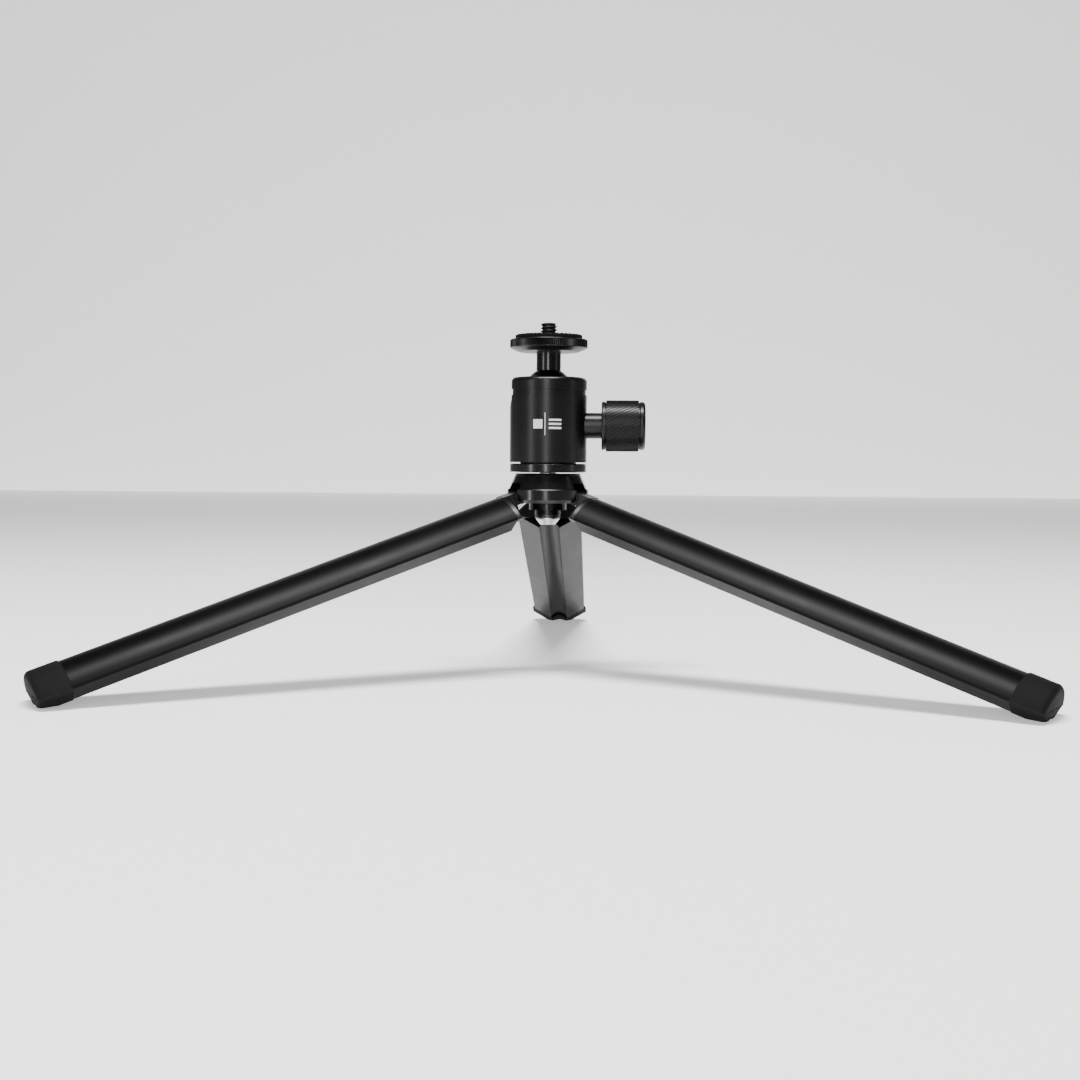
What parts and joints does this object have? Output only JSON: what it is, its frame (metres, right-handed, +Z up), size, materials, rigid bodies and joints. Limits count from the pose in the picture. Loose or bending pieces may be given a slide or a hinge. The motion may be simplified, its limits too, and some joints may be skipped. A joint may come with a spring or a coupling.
{
  "type": "mini tabletop tripod with ball head",
  "caption": "Mini tabletop tripod: folding sector-section legs with rubber feet on a slotted hub, and a panning ball head with a drop notch, a clamp knob and a 1/4 inch camera screw",
  "frame": {"origin": "centre of the camera screw at the level of the rubber pad's top face", "axes": "+Z up along the camera screw, +X towards the clamp knob, -X towards the drop notch, one leg along +Y and the other two 120 degrees to either side"},
  "size_m": [0.3406, 0.2974, 0.133],
  "materials": {
    "black_anodised": "satin black anodised",
    "black_rubber": "matte",
    "dark_steel": "black zinc plated",
    "bright_steel": "satin",
    "acetal": "matte"
  },
  "bodies": {
    "tripod_hub": {"hub": "black_anodised", "center_bolt": "bright_steel", "spring_washer": "bright_steel", "hinge_pins": "bright_steel", "hinge_washers": "acetal", "base_plate": "black_anodised", "retaining_ring": "bright_steel", "pan_washer": "acetal"},
    "leg_1": {"leg_knuckle_1": "black_anodised", "leg_tube_1": "black_anodised", "leg_foot_1": "black_rubber"},
    "leg_2": {"leg_knuckle_2": "black_anodised", "leg_tube_2": "black_anodised", "leg_foot_2": "black_rubber"},
    "leg_3": {"leg_knuckle_3": "black_anodised", "leg_tube_3": "black_anodised", "leg_foot_3": "black_rubber"},
    "head": {"head_body": "black_anodised", "end_bushing": "bright_steel"},
    "ball_cup": {"ball_cup": "acetal"},
    "brake_plunger": {"brake_plunger": "bright_steel"},
    "knob": {"knob": "black_anodised", "clamp_screw": "dark_steel"},
    "ball": {"ball": "black_anodised"},
    "stem": {"stem": "black_anodised"},
    "platform": {"platform_disc": "black_anodised", "platform_pad": "black_rubber", "camera_screw": "dark_steel"}
  },
  "joints": [
    {"name": "leg_fold_1", "type": "hinge", "parent": "tripod_hub", "child": "leg_1", "pos_m": [0, 0.013, -0.06157], "axis": [-1, 0, 0], "range_deg": [0, 71.4]},
    {"name": "leg_fold_2", "type": "hinge", "parent": "tripod_hub", "child": "leg_2", "pos_m": [-0.01126, -0.0065, -0.06157], "axis": [0.5, -0.866, 0], "range_deg": [0, 71.4]},
    {"name": "leg_fold_3", "type": "hinge", "parent": "tripod_hub", "child": "leg_3", "pos_m": [0.01126, -0.0065, -0.06157], "axis": [0.5, 0.866, 0], "range_deg": [0, 71.4]},
    {"name": "head_pan", "type": "hinge", "parent": "tripod_hub", "child": "head", "pos_m": [0, 0, -0.0488], "axis": [0, 0, 1], "continuous": true},
    {"name": "ball_nod", "type": "hinge", "parent": "head", "child": "ball", "pos_m": [0, 0, -0.02155], "axis": [1, 0, 0], "range_deg": [-22, 22]},
    {"name": "ball_tilt", "type": "hinge", "parent": "ball", "child": "stem", "pos_m": [0, 0, -0.02155], "axis": [0, -1, 0], "range_deg": [-22, 90]},
    {"name": "platform_spin", "type": "hinge", "parent": "stem", "child": "platform", "pos_m": [0, 0, -0.0064], "axis": [0, 0, 1], "continuous": true},
    {"name": "plunger_slide", "type": "slide", "parent": "head", "child": "brake_plunger", "axis": [1, 0, 0], "range_m": [0, 0.0015]},
    {"name": "knob_turn", "type": "hinge", "parent": "brake_plunger", "child": "knob", "pos_m": [0.02, 0, -0.0343], "axis": [1, 0, 0], "range_deg": [0, 540]},
    {"name": "cup_drop", "type": "slide", "parent": "head", "child": "ball_cup", "axis": [0, 0, 1], "range_m": [-0.00023, 0]}
  ],
  "couplings": [
    {"joint": "knob_turn", "follows": "plunger_slide", "rad_per_m": 6283.2},
    {"joint": "cup_drop", "follows": "plunger_slide", "ratio": -0.14054}
  ]
}
